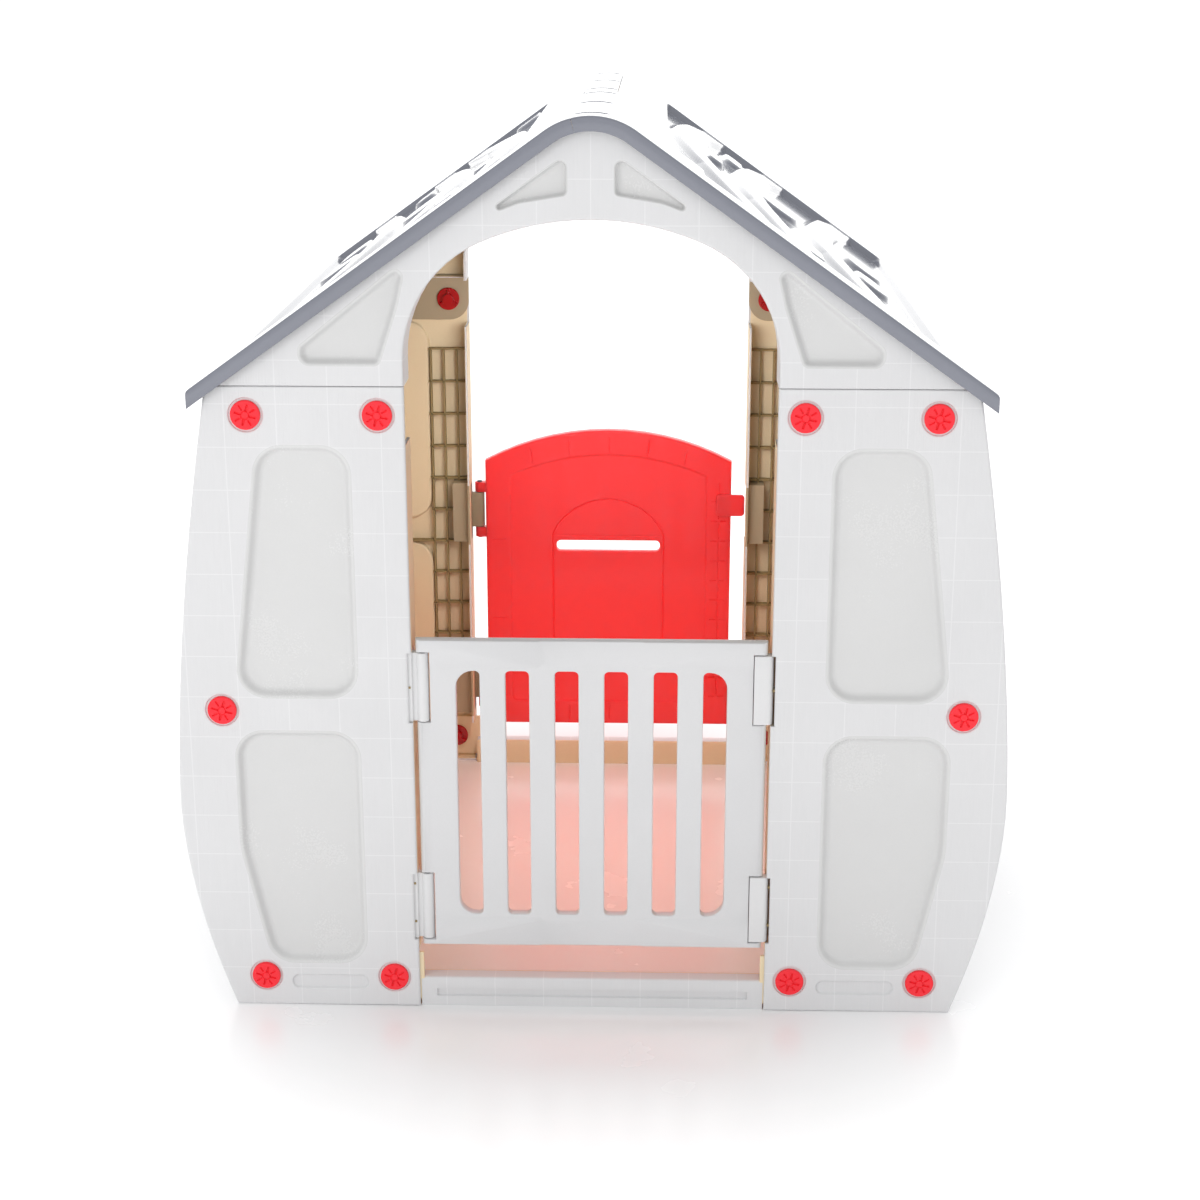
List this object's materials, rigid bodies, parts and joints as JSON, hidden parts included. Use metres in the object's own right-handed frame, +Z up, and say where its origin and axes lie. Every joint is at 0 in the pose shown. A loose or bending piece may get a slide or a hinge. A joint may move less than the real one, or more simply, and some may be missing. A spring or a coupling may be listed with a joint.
{
  "type": "plastic playhouse",
  "caption": "Child-size moulded plastic playhouse with a pitched roof, arched doorways, a swinging slatted gate and an arched rear door.",
  "frame": {"origin": "on the floor, under the middle of the house", "axes": "+Z up, -Y the front with the slatted gate, +X to the right seen from the front"},
  "size_m": [1.0194, 0.9, 1.111],
  "materials": {
    "wall_plastic": "satin with a fine upright grain",
    "roof_plastic": "semi-gloss slate grey",
    "red_plastic": "semi-gloss bright red",
    "pin_plastic": "plain dark grey"
  },
  "bodies": {
    "house": {"front_right_panel": "wall_plastic", "front_left_panel": "wall_plastic", "rear_right_panel": "wall_plastic", "rear_left_panel": "wall_plastic", "front_gable": "wall_plastic", "rear_gable": "wall_plastic", "front_threshold": "wall_plastic", "rear_threshold": "wall_plastic", "right_side_wall": "wall_plastic", "left_side_wall": "wall_plastic", "roof_right_half": "roof_plastic", "roof_left_half": "roof_plastic", "gate_hinge_blocks": "wall_plastic", "door_hinge_blocks": "red_plastic", "front_wall_screws": "red_plastic", "front_wall_nuts": "red_plastic", "rear_wall_screws": "red_plastic", "rear_wall_nuts": "red_plastic"},
    "gate": {"front_gate": "wall_plastic", "gate_hinge_pins": "pin_plastic", "gate_catch_tabs": "wall_plastic"},
    "door": {"rear_door": "red_plastic", "door_hinge_pins": "pin_plastic", "door_latch_tab": "red_plastic"}
  },
  "joints": [
    {"name": "gate_hinge", "type": "hinge", "parent": "house", "child": "gate", "pos_m": [-0.2055, -0.426, 0.288], "axis": [0, 0, -1], "range_deg": [0, 105]},
    {"name": "door_hinge", "type": "hinge", "parent": "house", "child": "door", "pos_m": [-0.206, 0.427, 0.288], "axis": [0, 0, 1], "range_deg": [0, 105]}
  ]
}
